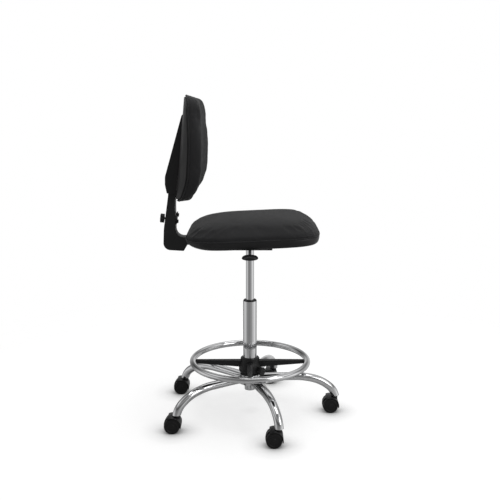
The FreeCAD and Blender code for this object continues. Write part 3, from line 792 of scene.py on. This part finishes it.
back_cover = dress(back_cushion(), "backrest", "seat_fabric", "back_cushion")
back_seam = pad_ring(BACK_WELT_SHARE, -PAD_DEEP + BACK_WELT_FORWARD)
dress(cord_tube("back_welt", back_seam, BACK_WELT_RADIUS), "backrest", "seat_fabric")
print("back cushion", [round(v, 4) for v in back_cover.dimensions])

# %% [markdown]
# ## Studio floor
# A pale floor shows black cloth and chrome best. It is a wide sheet that keeps the shadow and
# fades to nothing further out, so no horizon crosses the picture. In mirrors it fades sooner,
# which leaves the chrome the surroundings to reflect. Where something stands on the floor, the
# ambient occlusion node paints shade into the floor's colour and its white lift, a painted contact
# shadow.

# %% Studio floor
FLOOR_HALF = 3.2
FLOOR_TONES = ((0.49, 0.49, 0.49), (0.51, 0.51, 0.51))
FLOOR_LIFT = 0.60
FADE_SEEN = (0.75, 1.7)
FADE_MIRRORED = (0.3, 0.9)
# Reach and strength of the painted contact shade on the floor.
PAINTED_SHADE_REACH, PAINTED_SHADE_POWER = 0.085, 1.3


def fading(finish, distance, limits):
    """0 nearer than the first limit, 1 past the second, and smooth between."""
    links = {"Value": distance, "From Min": limits[0], "From Max": limits[1]}
    node = finish.add("ShaderNodeMapRange", links, interpolation_type="SMOOTHSTEP")
    return node.outputs["Result"]


def studio_floor():
    mesh = bpy.data.meshes.new("studio_floor")
    corners = [(-FLOOR_HALF, -FLOOR_HALF, 0), (FLOOR_HALF, -FLOOR_HALF, 0),
               (FLOOR_HALF, FLOOR_HALF, 0), (-FLOOR_HALF, FLOOR_HALF, 0)]
    mesh.from_pydata(corners, [], [(0, 1, 2, 3)])
    floor = bpy.data.objects.new("studio_floor", mesh)
    bpy.context.scene.collection.objects.link(floor)
    paper = Finish("studio_paper")
    speck = paper.noise(3.0)
    # Painted shade: ambient occlusion darkens the floor's colour next to the casters and other
    # parts.
    occlusion_shade = paper.add("ShaderNodeAmbientOcclusion", {"Distance": PAINTED_SHADE_REACH}, samples=8)
    painted_contact_shade = paper.math("POWER", occlusion_shade.outputs["AO"], PAINTED_SHADE_POWER)
    tone = paper.add("ShaderNodeVectorMath", operation="SCALE")
    paper.tree.links.new(paper.blend(speck, FLOOR_TONES), tone.inputs[0])
    paper.tree.links.new(painted_contact_shade, tone.inputs["Scale"])
    paper.connect(Base_Color=tone.outputs[0])
    paper.fix(Roughness=0.95, Specular_IOR_Level=0.0)
    rays = paper.add("ShaderNodeLightPath").outputs
    seen = paper.math("MULTIPLY", rays["Is Camera Ray"], FLOOR_LIFT)
    # The white lift is darkened by the same painted contact shade.
    lift = paper.math("MULTIPLY", seen, painted_contact_shade)
    glow = paper.add("ShaderNodeEmission", {"Color": (1, 1, 1, 1), "Strength": lift})
    both = paper.add("ShaderNodeAddShader", {0: paper.shader.outputs[0], 1: glow.outputs[0]})
    away = paper.add("ShaderNodeVectorMath", {0: paper.place}, operation="LENGTH").outputs["Value"]
    gone = paper.between(rays["Is Glossy Ray"], fading(paper, away, FADE_SEEN),
                         fading(paper, away, FADE_MIRRORED))
    open_air = paper.add("ShaderNodeBsdfTransparent")
    edge = paper.add("ShaderNodeMixShader", {0: gone, 1: both.outputs[0], 2: open_air.outputs[0]})
    paper.tree.links.new(edge.outputs[0], paper.tree.nodes["Material Output"].inputs["Surface"])
    mesh.materials.append(paper.material)


studio_floor()
print("studio floor fades from", FADE_SEEN[0], "to", FADE_SEEN[1], "metres out")

# %% [markdown]
# ## The light tent
# Chrome has no colour of its own: it shows what stands round it. A studio hangs light and dark
# cloths round a shiny thing, so that its tubes get clear bright and dark bands. Here the
# surroundings do that for mirrors only. Everything else is lit by an even white, and the
# backdrop is plain white.

# %% Light tent
AMBIENT = 0.62
# Light and dark panels of the tent: place round the circle (0.5 faces the viewer), brightness.
AROUND_PANELS = [(0.0, 0.75), (0.12, 0.16), (0.23, 0.80), (0.31, 0.66), (0.36, 0.32), (0.47, 0.26),
                 (0.57, 0.36), (0.64, 0.66), (0.75, 1.0), (0.82, 0.45), (0.90, 0.6), (1.0, 0.85)]
# The same from straight down (0) to straight up (1).
HEIGHT_PANELS = [(0.0, 0.4), (0.46, 1.0), (0.6, 0.8), (0.7, 0.3), (0.84, 1.1), (1.0, 0.5)]


def studio_surroundings():
    world = bpy.data.worlds.new("light_tent")
    world.use_nodes = True
    bpy.context.scene.world = world
    nodes, links = world.node_tree.nodes, world.node_tree.links
    nodes.clear()

    def computed(operation, *values):
        node = nodes.new("ShaderNodeMath")
        node.operation = operation
        for index, value in enumerate(values):
            if hasattr(value, "is_output"):
                links.new(value, node.inputs[index])
            else:
                node.inputs[index].default_value = value
        return node.outputs[0]

    def ramp(value, stops):
        node = nodes.new("ShaderNodeValToRGB")
        node.color_ramp.interpolation = "EASE"
        marks = node.color_ramp.elements
        while len(marks) < len(stops):
            marks.new(0.5)
        for mark, (place, level) in zip(marks, stops):
            mark.position = place
            mark.color = (level, level, level, 1)
        links.new(value, node.inputs["Fac"])
        return node.outputs["Color"]

    direction = nodes.new("ShaderNodeSeparateXYZ")
    links.new(nodes.new("ShaderNodeTexCoord").outputs["Generated"], direction.inputs[0])
    behind = computed("MULTIPLY", direction.outputs["Y"], -1.0)
    turn = computed("ARCTAN2", direction.outputs["X"], behind)
    panels = ramp(computed("MULTIPLY_ADD", turn, 0.5 / math.pi, 0.5), AROUND_PANELS)
    storeys = ramp(computed("MULTIPLY_ADD", direction.outputs["Z"], 0.5, 0.5), HEIGHT_PANELS)
    mirrored = nodes.new("ShaderNodeBackground")
    links.new(panels, mirrored.inputs["Color"])
    links.new(storeys, mirrored.inputs["Strength"])
    ambient, plain = nodes.new("ShaderNodeBackground"), nodes.new("ShaderNodeBackground")
    ambient.inputs["Strength"].default_value = AMBIENT
    for shade in (ambient, plain):
        shade.inputs["Color"].default_value = (1, 1, 1, 1)
    rays = nodes.new("ShaderNodeLightPath").outputs
    choice = ambient.outputs[0]
    for ray, shade in (("Is Glossy Ray", mirrored), ("Is Camera Ray", plain)):
        pick = nodes.new("ShaderNodeMixShader")
        links.new(rays[ray], pick.inputs[0])
        links.new(choice, pick.inputs[1])
        links.new(shade.outputs[0], pick.inputs[2])
        choice = pick.outputs[0]
    links.new(choice, nodes.new("ShaderNodeOutputWorld").inputs["Surface"])


studio_surroundings()
print("light tent has", len(AROUND_PANELS), "marks round it and", len(HEIGHT_PANELS), "up it")

# %% [markdown]
# ## The lamps
# Two large softboxes give soft shadows and a gentle highlight on the cloth: one overhead, and
# a weaker one in front and to the side. Large lamps close by are softer than small ones far off.

# %% Lamps
AIM = (0, 0, 0.6)
# Name, place, width and height, power in watts.
SOFTBOXES = [("top_softbox", (0.2, 0.1, 2.6), (1.8, 1.8), 22.0),
             ("side_softbox", (1.9, -1.6, 1.7), (1.2, 1.6), 14.0)]


def softbox(name, place, size, power):
    lamp = bpy.data.lights.new(name, "AREA")
    lamp.shape = "RECTANGLE"
    lamp.size, lamp.size_y = size
    lamp.energy = power
    box = bpy.data.objects.new(name, lamp)
    box.location = place
    box.rotation_euler = (Vector(AIM) - Vector(place)).to_track_quat("-Z", "Y").to_euler()
    bpy.context.scene.collection.objects.link(box)


for lamp in SOFTBOXES:
    softbox(*lamp)
bpy.context.scene.view_settings.view_transform = "Standard"
print("studio ready with", len(SOFTBOXES), "softboxes")
